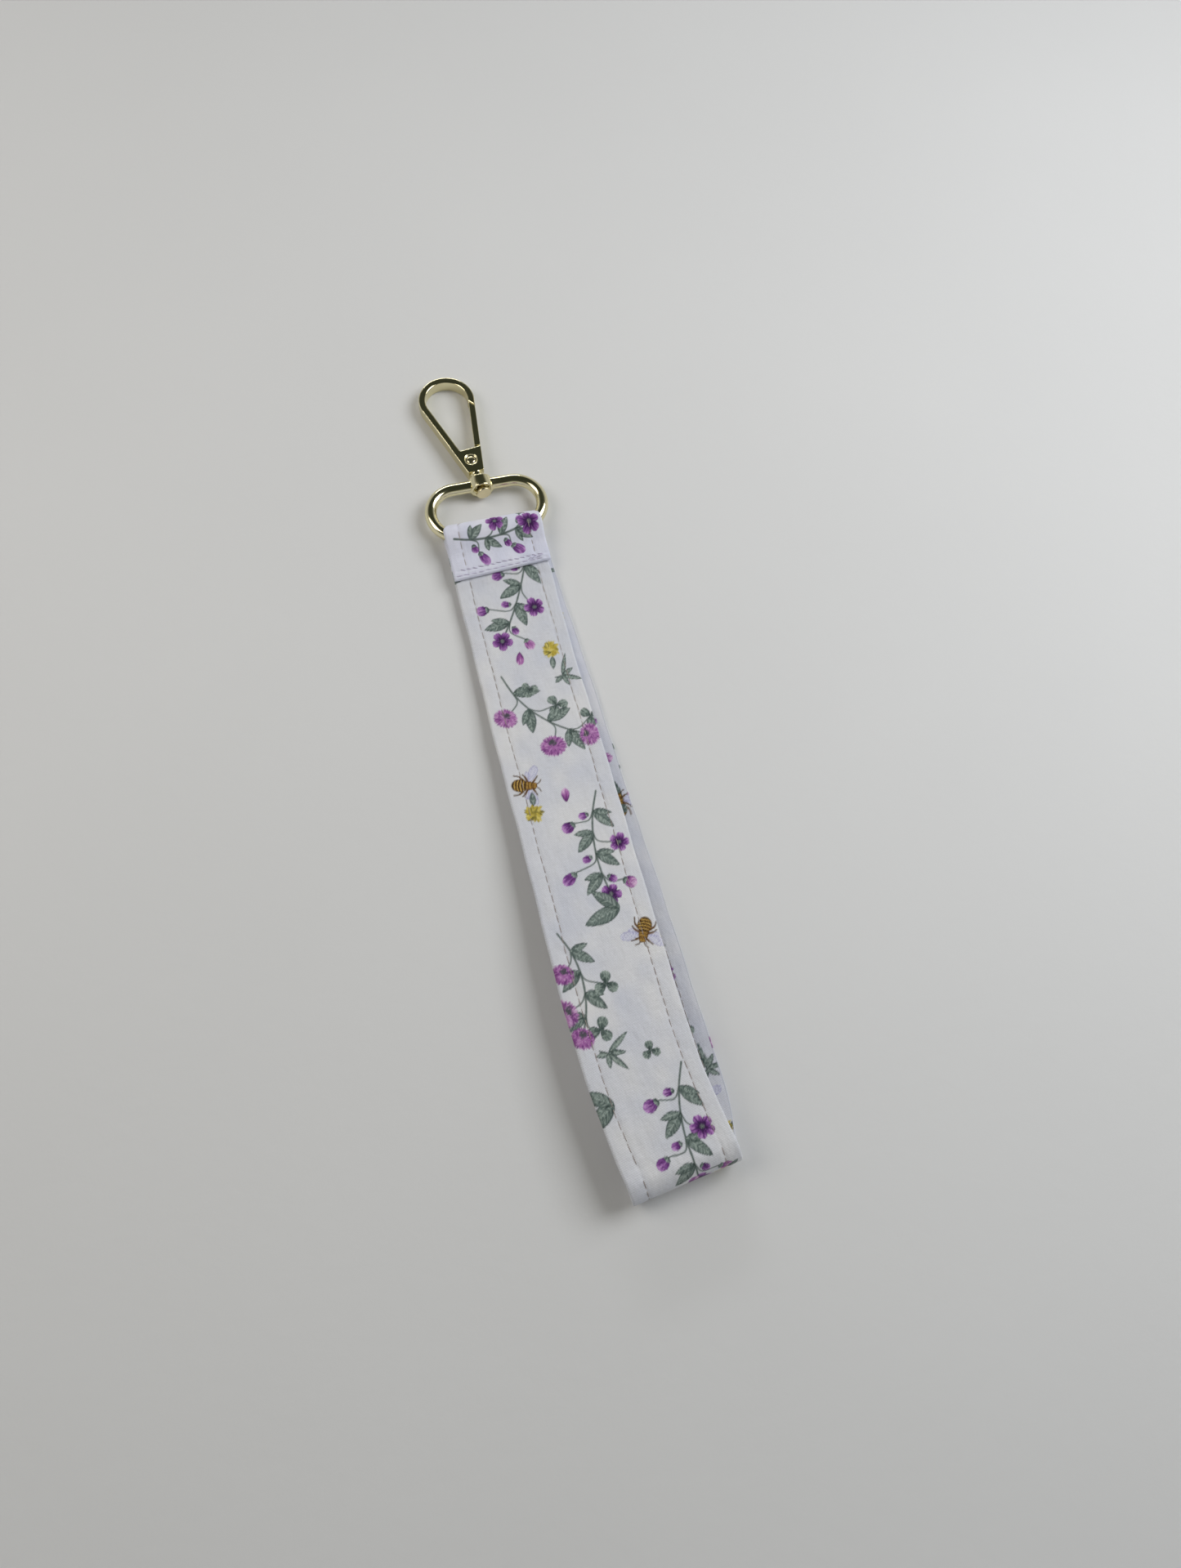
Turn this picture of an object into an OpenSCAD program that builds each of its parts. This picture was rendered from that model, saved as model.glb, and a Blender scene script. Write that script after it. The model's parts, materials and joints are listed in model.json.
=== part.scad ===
// Wristlet key strap: a sewn strip of printed cotton, folded into a wrist loop, that carries an
// oval ring, a swivel snap hook and a sprung gate. It lies flat, ready to be picked up.
// +Z is up, +Y runs from the wrist fold to the hook, and the origin is under the middle of its outline.

/* [Strap] */
// Width of the finished strip
strap_w = 25.4; // [22:0.1:26]
// Thickness of the sewn strip, four layers of cotton and its interfacing
strip_t = 1.25; // [1.1:0.05:1.3]
// Length of the doubled strap, from ring fold to wrist fold
loop_len = 168; // [150:1:200]
// Height of the rounded wrist fold
fold_h = 9.5; // [8:0.5:14]
// Length of the hemmed end that is sewn over the front run
hem_len = 15.2; // [14:0.1:18]
// Distance of the edge topstitching from the strip's edge
stitch_in = 3.7; // [2.5:0.1:5]

/* [Ring] */
// Outer width of the oval ring
ring_w = 32.2; // [30:0.1:34]
// Outer height of the oval ring
ring_h = 17.1; // [16.5:0.1:19]
// Diameter of the ring's wire
wire_d = 3.1; // [2.6:0.1:3.2]
// Diameter of the swivel eye in the ring's top bar
eye_d = 6.1; // [5.6:0.1:6.6]
// Length of the swivel eye
eye_len = 3.3; // [3:0.1:3.6]

/* [Hook] */
// Distance from the middle of the swivel eye to the hook's tip
hook_len = 35; // [33:0.05:36]
// Outer diameter of the hook's arch
arch_d = 14.9; // [14:0.1:16]
// Width of the hook's bar
bar_w = 1.85; // [1.6:0.05:2.1]
// Depth of the hook, front to back
hook_t = 3.3; // [3:0.1:3.8]
// Width of the hook's foot beside the swivel
foot_w = 4.3; // [4:0.1:5]
// Width of the gate's bar
gate_w = 1.65; // [1.4:0.05:1.8]

/* [Swivel rivet and gate pin] */
// Diameter of the swivel rivet's shank
rivet_d = 2.3; // [2:0.1:2.4]
// Diameter of the swivel rivet's head
rivet_head_d = 4; // [3.8:0.1:4.2]
// Diameter of the gate pin
pin_d = 1.2; // [1:0.1:1.3]
// Diameter of the gate pin's domed heads
pin_head_d = 2.3; // [2:0.1:2.5]

/* [Lie] */
// Angle that the hook has swung sideways on its loose swivel
hook_yaw = 6.5; // [0:0.5:7]
// Sideways drift of the front run at the wrist fold
front_drift = 4.3; // [0:0.1:5]
// Sideways drift of the back run for each millimetre of its length
back_drift = 0.043; // [0:0.001:0.05]
// Slant of the wrist fold
fold_slant = 7; // [0:0.5:8]
// Slant of the hemmed end
hem_slant = 3; // [0:0.5:4]

/* [Hidden] */
$fn = 96;

// --- the ring and where its axes lie
wire_r = wire_d / 2;
bend_r = (ring_h - wire_d) / 2;          // radius of the ring's ends, along the wire's middle
bend_x = (ring_w - ring_h) / 2;          // half the length of its straight bars
axis_z = eye_d / 2;                      // the ring lies flat on its eye
lower_bar_y = -3.45;                     // the bar inside the strap's fold
upper_bar_y = lower_bar_y + 2 * bend_r;
eye_bore_r = 1.7;
eye_flare_r = 2.4;
eye_edge = 0.35;

// --- the strip, lying in layers; s is the distance from the ring fold towards the wrist fold
air = 0.05;                              // gap between sewn layers
core_t = 0.35;
core_margin = 1.2;
thread_h = 0.12;
thread_w = 0.35;
back_z = strip_t / 2;
under_z = back_z + strip_t + air;        // the front run, where it is sewn under the hemmed end
hem_z = under_z + strip_t + air;
wrap_r = axis_z - strip_t / 2;           // the ring wrap, from the ring's axis to the strip's middle
wrap_top_z = axis_z + wrap_r;
wrap_end = 9;                            // where the ring wrap hands over to the flat runs
drop_from = -lower_bar_y;                // the strip slopes down from here to the hemmed end
corner_share = 0.755;                    // share of the strip's width that fits inside the ring
front_end = 8.2;                         // where the front run ends, under the hemmed end
rise_from = 25;
rise_to = loop_len - 13;
fold_r = (fold_h - strip_t) / 2;
fold_s = loop_len - fold_h / 2;
top_z = fold_h - strip_t / 2;

// --- the hook, in its own plane: u across, v along, from the middle of the swivel eye
arch_r = arch_d / 2;
arch_v = hook_len - arch_r;
side_ease = 0.02;                        // the straight sides cross the arch, just inside its tangents
foot_v = 3.5;
floor_v = 10.8;                          // lower edge of the hook's opening
foot_reach = sqrt(pow(foot_w / 2, 2) + pow(arch_v - foot_v, 2));
side_a = asin(arch_r / foot_reach) - atan(foot_w / 2 / (arch_v - foot_v));
collar_r = 1.6;
collar_v = 2.3;
socket_v = 5;                            // end of the rivet's blind hole
slot_t = 1.8;
slot_v = 5.4;
pivot = [-0.1, 7.4];
pocket_r = 1.4;
recess_r = 1.6;
recess_depth = 0.35;
nose = [4.9, 26.1];                      // inner end of the joint between gate and hook
nose_out = [8, 21.8];
nose_in = nose - [0.8, 0];               // past the bar, inside the opening
window_u = 1.4;                          // inner end of the gate's window
past_side = 9;                           // clear of the hook's side
hook_pitch = asin((axis_z - hook_t / 2) / hook_len);

// --- the gate
gate_gap = 0.12;
nose_gap = 0.15;
gate_t = 2.9;
tongue_t = 1.5;
hub_r = 1.25;
hub_top = -0.2;
channel_w = 0.6;
pin_run = 0.06;
gate_foot_v = floor_v + 0.5;

// --- the gate spring
spring_wire = 0.28;
spring_r = 0.95;
spring_turns = 2.4;
spring_pitch = 0.3;
spring_sides = 8;
spring_steps = 20;
leg_a = 54;                              // direction of the leg that pushes on the gate

// --- the outline's middle, which is the origin
tip_y = upper_bar_y + arch_v * cos(hook_yaw) * cos(hook_pitch) + arch_r;
frame_y = (loop_len + 1.4 - tip_y) / 2;
frame_x = -1.45;

function smooth(t) = let (k = min(1, max(0, t))) k * k * (3 - 2 * k);

// Half the hook's width at v, with its sides drawn in by inset
function half_at(v, inset = 0) = (arch_r - inset) / cos(side_a) - (arch_v - v) * tan(side_a);

// Where each run of the strip lies at s: sideways drift, slant, and the front run's height and steepness
function front_x(s) = front_drift * pow(max(0, s - 110) / 56, 3);
function back_x(s) = back_drift * s - 0.0049 * pow(max(0, s - 145), 2);
function slant(s) = fold_slant * pow(max(0, s - 100) / (fold_s - 100), 2);
function blend(a, b, t) = a + (b - a) * smooth(t);
function steepness(a, b, length, t) = 6 * (b - a) / length * max(0, t) * max(0, 1 - t);
function rise_part(s) = (s - rise_from) / (rise_to - rise_from);
function drop_part(s) = (s - drop_from) / (wrap_end - drop_from);

// A station of the strip: middle x, s, z, slant, share of the full width, lean of its outer face from +Z
function front_station(s) = [front_x(s), s, blend(under_z, top_z, rise_part(s)), slant(s), 1,
    -atan(steepness(under_z, top_z, rise_to - rise_from, rise_part(s)))];
function fold_station(a) = [(front_x(fold_s) * (180 - a) + back_x(fold_s) * a) / 180,
    fold_s + fold_r * sin(a), fold_h / 2 + fold_r * cos(a), slant(fold_s), 1, a];
function back_station(s) = [back_x(s), s, back_z, slant(s), 1, 180];
function under_bar_station(s) = [blend(0, back_x(wrap_end), drop_part(s)), s, back_z, 0, 1, 180];
function ring_fold_station(a) = [0, axis_z + wrap_r * sin(a), axis_z + wrap_r * cos(a), 0,
    1 + (1 - corner_share) * sin(a), a];
function over_bar_station(s) = [0, s, blend(wrap_top_z, hem_z, drop_part(s)), 0, 1,
    -atan(steepness(wrap_top_z, hem_z, wrap_end - drop_from, drop_part(s)))];
function hem_station(s) = [0, s, hem_z, hem_slant * (s - wrap_end) / (hem_len - wrap_end), 1, 0];
function steps(a, b, n) = [for (i = [0:n]) a + (b - a) * i / n];

// The strip's runs, in order from its end under the hem, round the wrist fold and the ring, to the hem
front_path = [for (s = concat([front_end], steps(rise_from, fold_s, 28))) front_station(s)];
fold_path = [for (a = steps(0, 180, 14)) fold_station(a)];
back_path = [for (s = steps(fold_s, wrap_end, 28)) back_station(s)];
wrap_path = [for (s = steps(wrap_end, drop_from, 4)) under_bar_station(s),
             for (a = steps(-180, 0, 16)) ring_fold_station(a),
             for (s = steps(drop_from, wrap_end, 7)) over_bar_station(s)];
hem_path = [for (s = steps(wrap_end, hem_len, 3)) hem_station(s)];

// The point at distance e across and h out from a station
function corner(p, e, h) =
    [p[0] + e * p[4], -(p[1] + h * sin(p[5])) + e * p[4] * tan(p[3]), p[2] + h * cos(p[5])];

// A ribbon along path, between edges e0 and e1 and between heights h0 and h1 above the path
module ribbon(path, e0, e1, h0, h1) {
    last = len(path) - 1;
    points = [for (p = path)
        each [corner(p, e0, h0), corner(p, e1, h0), corner(p, e1, h1), corner(p, e0, h1)]];
    sides = [for (i = [0:last - 1], k = [0:3]) let (a = 4 * i + k, b = 4 * i + (k + 1) % 4)
        each [[a, b + 4, b], [a, a + 4, b + 4]]];
    z = 4 * last;
    ends = [[0, 1, 2], [0, 2, 3], [z, z + 2, z + 1], [z, z + 3, z + 2]];
    polyhedron(points, concat(sides, ends), convexity = 6);
}

module place() translate([frame_x, frame_y, 0]) children();

// A run of the printed cotton, wrapped round its interfacing
module sleeve(path) {
    w = strap_w / 2;
    difference() {
        ribbon(path, -w, w, -strip_t / 2, strip_t / 2);
        ribbon(path, core_margin - w, w - core_margin, -core_t / 2, core_t / 2);
    }
}

module whole_run(path) ribbon(path, -strap_w / 2, strap_w / 2, -strip_t / 2, strip_t / 2);

module front_run() color("lavender") place() sleeve(front_path);
module back_run() color("lavender") place() sleeve(back_path);
module wrist_fold() color("lavender") place() sleeve(fold_path);
module ring_wrap() color("ghostwhite") place() whole_run(wrap_path);
module hem_end() color("ghostwhite") place() whole_run(hem_path);

module interfacing() {
    w = strap_w / 2 - core_margin;
    color("white") place() {
        ribbon(front_path, -w, w, -core_t / 2, core_t / 2);
        ribbon(fold_path, -w, w, -core_t / 2, core_t / 2);
        ribbon(back_path, -w, w, -core_t / 2, core_t / 2);
    }
}

// One line of topstitching along an edge, over the front run, as a low ridge of thread
module edge_thread(side) {
    e = side * (strap_w / 2 - stitch_in);
    shown = [for (s = concat([hem_len + 1], steps(rise_from, fold_s, 28))) front_station(s)];
    color("tan") place()
        ribbon(shown, e - thread_w / 2, e + thread_w / 2, strip_t / 2, strip_t / 2 + thread_h);
}

module edge_thread_left() edge_thread(-1);
module edge_thread_right() edge_thread(1);

// A line of stitches across the hemmed end, at a distance from its edge
module cross_thread(from_edge, e0, e1) {
    s = hem_len - from_edge;
    line = [for (k = [-1, 1]) [0, s + k * thread_w / 2, hem_z, hem_slant, 1, 0]];
    place() ribbon(line, e0, e1, strip_t / 2, strip_t / 2 + thread_h);
}

module hem_thread_upper() color("thistle") cross_thread(2.1, -strap_w / 2 + 0.8, strap_w / 2 - 0.8);
module hem_thread_lower() color("thistle") cross_thread(0.75, -strap_w / 2 + 0.8, strap_w / 2 - 0.8);
module backstitch() color("thistle") for (d = [1.25, 1.6]) cross_thread(d, 7.2, 10.6);

// --- metal

// Half of the ring's wire: one round end and half of both bars
module ring_half() {
    translate([bend_x, 0, 0]) rotate([0, 0, -90]) rotate_extrude(angle = 180)
        translate([bend_r, 0]) circle(wire_r);
    for (y = [-bend_r, bend_r]) translate([0, y, 0]) rotate([0, 90, 0]) cylinder(r = wire_r, h = bend_x);
}

// The swivel eye: a short barrel with eased edges, along +Z
module eye_barrel() {
    r = eye_d / 2;
    h = eye_len / 2;
    rotate_extrude() polygon([[0, -h], [r - eye_edge, -h], [r, eye_edge - h], [r, h - eye_edge],
                              [r - eye_edge, h], [0, h]]);
}

module eye_bore() {
    flare = eye_flare_r - eye_bore_r;
    cylinder(r = eye_bore_r, h = eye_len + 2, center = true);
    translate([0, 0, eye_len / 2 - flare])
        cylinder(r1 = eye_bore_r, r2 = eye_flare_r + 0.1, h = flare + 0.1);
}

module oval_ring() color("gold") place() translate([0, upper_bar_y, axis_z]) difference() {
    union() {
        translate([0, -bend_r, 0]) for (k = [0, 1]) mirror([k, 0, 0]) ring_half();
        rotate([90, 0, 0]) eye_barrel();
    }
    rotate([90, 0, 0]) eye_bore();
}

// Carries the hook's own plane to where it lies
module hook_place() place() translate([0, upper_bar_y, axis_z]) rotate([-hook_pitch, 0, hook_yaw]) children();

// The hook's outline, with every side drawn in by inset and its foot at v
module teardrop(inset, v) {
    r = arch_r - inset;
    t = [0, arch_v] + (r - side_ease) * [cos(side_a), -sin(side_a)];
    foot = half_at(v, inset + side_ease);
    translate([0, arch_v]) circle(r);
    polygon([[foot, v], t, [-t[0], t[1]], [-foot, v]]);
}

// The gate's window past the hook's right side, from foot_at up to the slanted nose, drawn back by gap
module gate_window(foot_at, gap) {
    back = [0, gap];
    polygon([[window_u, foot_at], [past_side, foot_at], [past_side, nose_out[1] - 0.7 - gap],
             nose_out - back, nose - back, nose_in - back]);
}

// The slot in the hook's foot, open to the right, up into the hook's opening
module slot_space() {
    top = floor_v + 1;
    polygon([[-half_at(slot_v, bar_w), slot_v], [past_side, slot_v],
             [past_side, top], [-half_at(top, bar_w), top]]);
}

module hook_body() color("gold") hook_place() difference() {
    union() {
        translate([0, 0, -hook_t / 2]) linear_extrude(hook_t) difference() {
            teardrop(0, foot_v);
            teardrop(bar_w, floor_v);
            gate_window(floor_v, 0);
        }
        translate([0, collar_v, 0]) rotate([-90, 0, 0])
            cylinder(r = min(collar_r, hook_t / 2 - 0.05), h = foot_v - collar_v + 0.5);
    }
    translate([0, 0, -slot_t / 2]) linear_extrude(slot_t) slot_space();
    translate([0, collar_v - 1, 0]) rotate([-90, 0, 0]) cylinder(d = rivet_d, h = socket_v - collar_v + 1);
    translate([pivot[0], pivot[1], 0]) {
        cylinder(d = pin_d, h = hook_t + 1, center = true);
        cylinder(r = pocket_r, h = slot_t, center = true);
        for (k = [0, 1]) mirror([0, 0, k]) translate([0, 0, hook_t / 2 - recess_depth])
            cylinder(r = recess_r, h = 1);
    }
}

// The swivel rivet: a shank pressed into the hook's foot and a flat head below the eye
module swivel_rivet() color("goldenrod") hook_place() rotate([-90, 0, 0]) {
    head_v = -2.8;
    head_h = 0.7;
    head_r = rivet_head_d / 2;
    shank_r = rivet_d / 2;
    end = socket_v - head_v;
    translate([0, 0, head_v]) rotate_extrude()
        polygon([[0, 0], [head_r - 0.2, 0], [head_r, 0.2], [head_r, head_h - 0.1], [head_r - 0.1, head_h],
                 [shank_r, head_h], [shank_r, end], [0, end]]);
}

// The gate's bar, between the hook's outline and its own inner side
module gate_outline() intersection() {
    difference() {
        teardrop(gate_gap / 2, gate_foot_v);
        teardrop(gate_w, gate_foot_v - 1);
    }
    gate_window(gate_foot_v, nose_gap);
}

// The gate's tongue, which fills the slot's open side
module tongue_outline() {
    low = slot_v + 0.25;
    translate(pivot) circle(hub_r);
    high = gate_foot_v + 0.4;
    polygon([pivot + [0.1, -hub_r], [half_at(low, gate_gap), low],
             [half_at(gate_foot_v, gate_gap), gate_foot_v],
             [half_at(high, gate_gap), high], [half_at(high, gate_w), high],
             [half_at(gate_foot_v, gate_w), gate_foot_v], pivot + [-0.5, hub_r * 0.9]]);
}

module gate() color("gold") hook_place() difference() {
    union() {
        translate([0, 0, -gate_t / 2]) linear_extrude(gate_t) gate_outline();
        translate([0, 0, -tongue_t / 2]) linear_extrude(tongue_t) tongue_outline();
    }
    translate([pivot[0], pivot[1], 0]) {
        cylinder(r = pin_d / 2 + pin_run, h = 4, center = true);
        translate([0, 0, hub_top]) {
            cylinder(r = pocket_r, h = 2);
            rotate([0, 0, leg_a]) translate([0, -spring_r - channel_w / 2, 0]) cube([3.4, channel_w, 2]);
        }
    }
}

// The gate pin: a shank across the slot with a domed head in each recess
module gate_pin() color("goldenrod") hook_place() translate([pivot[0], pivot[1], 0]) {
    floor_z = hook_t / 2 - recess_depth;
    head_r = pin_head_d / 2;
    rise = 0.3;
    dome_r = (head_r * head_r + rise * rise) / (2 * rise);
    cylinder(d = pin_d, h = 2 * floor_z + 0.1, center = true);
    for (k = [0, 1]) mirror([0, 0, k]) translate([0, 0, floor_z]) intersection() {
        cylinder(r = head_r, h = 1);
        translate([0, 0, rise - dome_r]) sphere(dome_r);
    }
}

// A round wire along a list of points
module wire(points, d) {
    n = spring_sides;
    last = len(points) - 1;
    rings = [for (i = [0:last])
        let (t = points[min(last, i + 1)] - points[max(0, i - 1)], w = t / norm(t),
             a = cross(w, [0, 0, 1]) / norm(cross(w, [0, 0, 1])), b = cross(w, a))
        each [for (k = [0:n - 1]) points[i] + d / 2 * (a * cos(360 * k / n) + b * sin(360 * k / n))]];
    sides = [for (i = [0:last - 1], k = [0:n - 1]) let (p = i * n + k, q = i * n + (k + 1) % n)
        each [[p, q + n, q], [p, p + n, q + n]]];
    caps = [[for (k = [0:n - 1]) k], [for (k = [n - 1:-1:0]) last * n + k]];
    polyhedron(rings, concat(sides, caps), convexity = 8);
}

// The gate spring: turns round the pin, with one leg on the hook's spine and one in the gate's channel
module gate_spring() {
    lift = hub_top + 0.6 * spring_wire;
    count = spring_steps * spring_turns;
    coil = [for (i = [0:count]) let (a = 180 + 360 * i / spring_steps)
        [spring_r * cos(a), spring_r * sin(a), spring_pitch * i / spring_steps]];
    spine_leg = [[-1.42, 2.5, 0], [-1.16, 1.25, 0]];
    gate_leg = [for (k = [1.4, 2.6]) coil[count] + k * [cos(leg_a), sin(leg_a), 0]];
    color("silver") hook_place() translate([pivot[0], pivot[1], lift])
        wire(concat(spine_leg, coil, gate_leg), spring_wire);
}

front_run();
back_run();
wrist_fold();
ring_wrap();
hem_end();
interfacing();
edge_thread_left();
edge_thread_right();
hem_thread_upper();
hem_thread_lower();
backstitch();
oval_ring();
swivel_rivet();
hook_body();
gate();
gate_pin();
gate_spring();
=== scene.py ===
"""A printed cotton wristlet strap on an oval ring with a swivel snap hook, lying on a pale floor."""
import json
import math

import bpy
import bmesh
import numpy as np
from mathutils import Matrix, Vector


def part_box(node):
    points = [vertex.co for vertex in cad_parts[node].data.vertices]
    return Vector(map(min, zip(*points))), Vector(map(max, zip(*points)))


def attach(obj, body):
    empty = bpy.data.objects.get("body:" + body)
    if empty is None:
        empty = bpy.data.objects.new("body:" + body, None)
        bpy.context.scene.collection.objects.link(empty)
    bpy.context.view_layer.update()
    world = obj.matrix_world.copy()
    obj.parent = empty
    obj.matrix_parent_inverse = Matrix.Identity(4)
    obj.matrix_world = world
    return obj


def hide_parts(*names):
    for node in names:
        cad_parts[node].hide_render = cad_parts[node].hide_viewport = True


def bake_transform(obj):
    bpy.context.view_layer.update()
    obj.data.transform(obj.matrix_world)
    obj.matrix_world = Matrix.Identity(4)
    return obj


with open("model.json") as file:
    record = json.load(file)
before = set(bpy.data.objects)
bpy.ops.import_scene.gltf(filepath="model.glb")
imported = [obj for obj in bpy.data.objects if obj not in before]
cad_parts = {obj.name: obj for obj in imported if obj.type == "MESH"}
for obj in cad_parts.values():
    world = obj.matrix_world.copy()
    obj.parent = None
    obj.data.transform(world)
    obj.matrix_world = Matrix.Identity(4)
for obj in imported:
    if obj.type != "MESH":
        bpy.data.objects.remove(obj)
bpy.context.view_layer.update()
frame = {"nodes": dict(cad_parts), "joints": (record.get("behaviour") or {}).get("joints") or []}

MM = 0.001
scene = bpy.context.scene

# ---------------------------------------------------------------- the strip's route, in millimetres
# s is the distance from the ring fold towards the wrist fold, e the distance across, z the height.
W, T = 25.4, 1.25  # the strip's width and thickness
BACK_Z, UNDER_Z, HEM_Z, TOP_Z = 0.625, 1.925, 3.225, 8.875  # the middles of its layers
AXIS_Z, WRAP_R, CORNER_SHARE = 3.05, 2.425, 0.80  # the ring fold, and its share of the width at the bar
DROP_FROM, WRAP_END, HEM_LEN, FRONT_END = 3.45, 9.0, 15.2, 8.2
RISE_FROM, RISE_TO = 25.0, 155.0  # where the front run rises
FOLD_R, FOLD_S, FOLD_H = 4.125, 163.25, 9.5  # the wrist fold
FRONT_DRIFT, DRIFT_FROM, DRIFT_OVER = 4.3, 110, 56  # how the front run drifts sideways
BACK_SLOPE, BACK_BEND, BEND_FROM = 0.043, 0.0049, 145  # and the back run
FOLD_SLANT, SLANT_FROM, HEM_SLANT = 7, 100, 3  # degrees off square across the strip
STITCH_E = 9.0  # how far out from the middle the edge stitches are
HALF = T / 2

ring_lo, ring_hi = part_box("oval_ring")
FX = (ring_lo.x + ring_hi.x) / 2 / MM
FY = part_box("ring_wrap")[1].y / MM


def smooth(t):
    t = np.clip(t, 0, 1)
    return t * t * (3 - 2 * t)


def front_x(s):
    return FRONT_DRIFT * (np.maximum(0, s - DRIFT_FROM) / DRIFT_OVER) ** 3


def back_x(s):
    return BACK_SLOPE * s - BACK_BEND * np.maximum(0, s - BEND_FROM) ** 2


def slant(s):
    t = np.maximum(0, s - SLANT_FROM) / (FOLD_S - SLANT_FROM)
    return FOLD_SLANT * t ** 2


def lean_of(a, b, length, t):
    """How the run leans as it goes smoothly from height a to height b."""
    return -np.arctan(6 * (b - a) / length * np.maximum(0, t) * np.maximum(0, 1 - t))


def run(x, s, z, slope, share, lean, q):
    """Stations of a run as rows: middle x, s, z, slant in degrees, share of the width, lean, and q, which is
    the distance along the print."""
    return np.stack(np.broadcast_arrays(x, s, z, slope, share, lean, q), 1).astype(float)


def front_run(s):
    t = (s - RISE_FROM) / (RISE_TO - RISE_FROM)
    z = UNDER_Z + (TOP_Z - UNDER_Z) * smooth(t)
    return run(front_x(s), s, z, slant(s), 1, lean_of(UNDER_Z, TOP_Z, RISE_TO - RISE_FROM, t), s)


def fold_run(a):
    x = (front_x(FOLD_S) * (math.pi - a) + back_x(FOLD_S) * a) / math.pi
    return run(x, FOLD_S + FOLD_R * np.sin(a), FOLD_H / 2 + FOLD_R * np.cos(a), slant(FOLD_S), 1, a,
               FOLD_S + (FOLD_R + HALF) * a)


def back_run(s):
    return run(back_x(s), s, BACK_Z, slant(s), 1, math.pi, 2 * FOLD_S + (FOLD_R + HALF) * math.pi - s)


def under_bar_run(s):
    x = back_x(WRAP_END) * smooth((s - DROP_FROM) / (WRAP_END - DROP_FROM))
    return run(x, s, BACK_Z, 0, 1, math.pi, -(s - AXIS_Z) - AXIS_Z * (math.pi - 1))


def ring_fold_run(a):
    return run(0, AXIS_Z + WRAP_R * np.sin(a), AXIS_Z + WRAP_R * np.cos(a), 0,
               1 - (1 - CORNER_SHARE) * np.abs(np.sin(a)) ** 3, a, AXIS_Z + AXIS_Z * a)


def over_bar_run(s):
    t = (s - DROP_FROM) / (WRAP_END - DROP_FROM)
    top = AXIS_Z + WRAP_R
    return run(0, s, top + (HEM_Z - top) * smooth(t), 0, 1, lean_of(top, HEM_Z, WRAP_END - DROP_FROM, t), s)


def hem_run(s):
    return run(0, s, HEM_Z, HEM_SLANT * (s - WRAP_END) / (HEM_LEN - WRAP_END), 1, 0, s)


def spread(a, b, step, last=False):
    """Even steps of about step from a to b, without b unless last is set."""
    n = max(1, int(round(abs(b - a) / step)))
    return np.linspace(a, b, n + 1)[: None if last else -1]


def place(p, e, h):
    """Row-frame points, in metres, at e across and h out from the stations p."""
    x = p[..., 0] + e * p[..., 4]
    y = -(p[..., 1] + h * np.sin(p[..., 5])) + e * p[..., 4] * np.tan(np.radians(p[..., 3]))
    z = p[..., 2] + h * np.cos(p[..., 5])
    return np.stack([x + FX, y + FY, z], -1) * MM


# ---------------------------------------------------------------- small helpers
rng = np.random.default_rng(41)
LATTICE = rng.random((256, 256))


def grain(x, y):
    """Smooth noise from 0 to 1, one cell a unit."""
    i, j = np.floor(x).astype(int), np.floor(y).astype(int)
    u, v = x - i, y - j
    u, v = u * u * (3 - 2 * u), v * v * (3 - 2 * v)
    i, j, k, m = i % 256, j % 256, (i + 1) % 256, (j + 1) % 256
    return ((LATTICE[i, j] * (1 - u) + LATTICE[k, j] * u) * (1 - v)
            + (LATTICE[i, m] * (1 - u) + LATTICE[k, m] * u) * v)


def linked(name, data):
    ob = bpy.data.objects.new(name, data)
    scene.collection.objects.link(ob)
    return ob


def smoothed(me, angle):
    """Smooth shading, with edges sharper than the angle left crisp."""
    me.shade_smooth()
    me.set_sharp_from_angle(angle=math.radians(angle))


def new_object(name, verts, faces, material, angle=40):
    me = bpy.data.meshes.new(name)
    me.from_pydata([tuple(v) for v in verts], [], faces)
    me.validate()
    me.update()
    ob = linked(name, me)
    me.materials.append(material)
    smoothed(me, angle)
    return ob


# ---------------------------------------------------------------- the print
# Colours are display colours from 0 to 1 while painting, and turned linear at the end.
GREENS = [(0.20, 0.25, 0.24), (0.38, 0.44, 0.42), (0.64, 0.69, 0.66)]
PURPLES = [(0.25, 0.10, 0.32), (0.49, 0.26, 0.56), (0.78, 0.59, 0.82)]
MAGENTAS = [(0.38, 0.16, 0.42), (0.66, 0.39, 0.66), (0.88, 0.74, 0.87)]
BROWNS = [(0.22, 0.14, 0.06), (0.57, 0.42, 0.18), (0.83, 0.69, 0.38)]
YELLOWS = [(0.40, 0.38, 0.20), (0.78, 0.69, 0.26), (0.90, 0.84, 0.50)]
STEM = (0.30, 0.355, 0.33)


class Cloth:
    """The printed face of a run: points e across and q along, and the colour of each."""

    def __init__(self, e, q, warm):
        self.e, self.q = e, q
        tone = 0.5 * grain(e * 0.11 + 9, q * 0.07 + 5) + 0.5 * grain(e * 0.3, q * 0.22 + 40)
        cool, pale = np.array((0.89, 0.893, 0.95)), np.array((0.872, 0.874, 0.886))
        self.rgb = cool + (pale - cool) * warm + (tone[:, None] - 0.5) * np.array((-0.09, -0.075, -0.03))

    def near(self, e, q, reach, turn=0.0):
        """The points round (e, q), and where they are from it along turn and across turn."""
        k = np.nonzero((np.abs(self.e - e) < reach) & (np.abs(self.q - q) < reach))[0]
        x, y = self.e[k] - e, self.q[k] - q
        c, s = math.cos(math.radians(turn)), math.sin(math.radians(turn))
        return k, x * c + y * s, y * c - x * s

    def lay(self, k, cover, colour):
        """Paint over the points k, by how far each is covered."""
        c = np.clip(cover, 0, 1)[:, None]
        self.rgb[k] = self.rgb[k] * (1 - c) + np.asarray(colour) * c


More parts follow.
